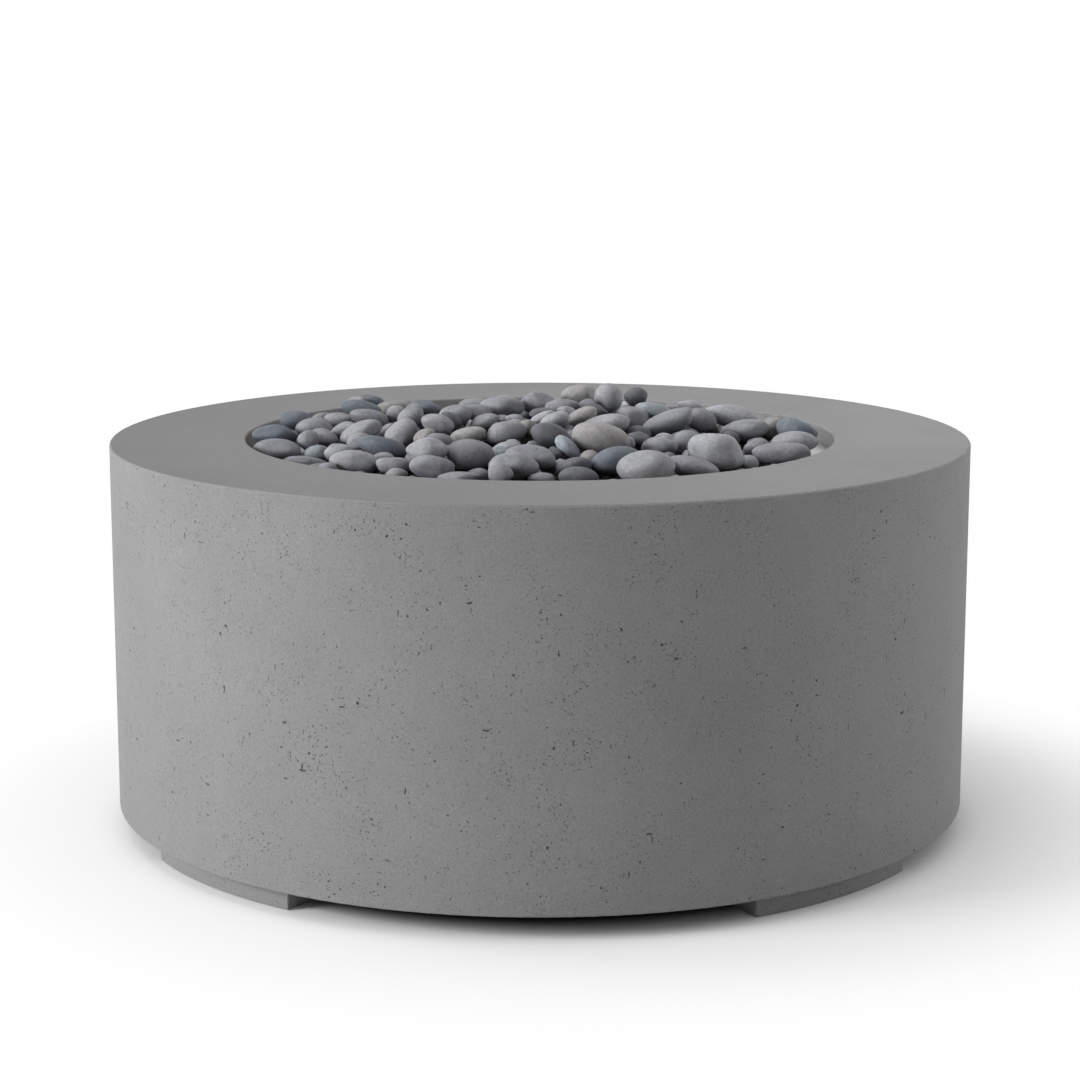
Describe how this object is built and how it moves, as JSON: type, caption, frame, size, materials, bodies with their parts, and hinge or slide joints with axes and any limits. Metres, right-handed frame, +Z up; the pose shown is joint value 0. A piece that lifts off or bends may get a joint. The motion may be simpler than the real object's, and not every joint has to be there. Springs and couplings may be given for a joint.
{
  "type": "gas fire bowl",
  "caption": "Round straight-sided cast concrete gas fire bowl on low feet, with a broad rim, a burner pan heaped with pebbles and rear controls.",
  "frame": {"origin": "on the floor under the middle of the bowl", "axes": "+Z up, +Y towards the rear with the controls, +X to the right seen from the front"},
  "size_m": [1.016, 1.0159, 0.5152],
  "materials": {
    "concrete": "matte",
    "pebble": "matte",
    "lava": "matte",
    "stainless": "satin",
    "zinc_steel": "satin",
    "brass": "satin",
    "cast_aluminium": "satin",
    "black_plastic": "matte",
    "battery_case": "satin",
    "ceramic": "satin",
    "copper": "satin",
    "silicone": "matte"
  },
  "bodies": {
    "bowl": {"air_mixer": "brass", "bonnet_screws": "zinc_steel", "bracket_screws": "zinc_steel", "burner_pan": "stainless", "burner_standoffs": "stainless", "concrete_shell": "concrete", "control_box": "stainless", "control_box_screws": "zinc_steel", "foot_bolts": "zinc_steel", "foot_front_left": "concrete", "foot_front_right": "concrete", "foot_inserts": "brass", "foot_rear_left": "concrete", "foot_rear_right": "concrete", "gas_inlet": "brass", "gas_orifice": "brass", "gas_pipe": "cast_aluminium", "hub_locknuts": "zinc_steel", "hub_nipple": "zinc_steel", "igniter_battery": "battery_case", "igniter_body": "black_plastic", "igniter_nut": "black_plastic", "lava_bed": "lava", "lead_clips": "black_plastic", "lead_grommets": "silicone", "pebbles_front_left": "pebble", "pebbles_front_right": "pebble", "pebbles_rear_left": "pebble", "pebbles_rear_right": "pebble", "pilot_bracket": "stainless", "pipe_nuts": "brass", "ring_burner": "stainless", "spark_electrode": "ceramic", "spark_lead": "silicone", "spark_rod": "stainless", "standoff_screws": "zinc_steel", "thermocouple": "stainless", "thermocouple_lead": "copper", "valve_body": "cast_aluminium", "valve_bonnet": "cast_aluminium", "valve_nut": "zinc_steel"},
    "valve_rotor": {"valve_plug": "brass"},
    "knob": {"valve_stem": "zinc_steel", "control_knob": "black_plastic", "knob_set_screw": "zinc_steel"},
    "igniter_plunger": {"igniter_button": "black_plastic"}
  },
  "joints": [
    {"name": "knob_turn", "type": "hinge", "parent": "bowl", "child": "valve_rotor", "pos_m": [-0.025, 0.44, 0.2], "axis": [0, 1, 0], "range_deg": [0, 180]},
    {"name": "knob_push", "type": "slide", "parent": "valve_rotor", "child": "knob", "axis": [0, -1, 0], "range_m": [0, 0.004], "stiffness_N_per_m": 800},
    {"name": "igniter_push", "type": "slide", "parent": "bowl", "child": "igniter_plunger", "axis": [0, -1, 0], "range_m": [0, 0.004], "stiffness_N_per_m": 500}
  ]
}
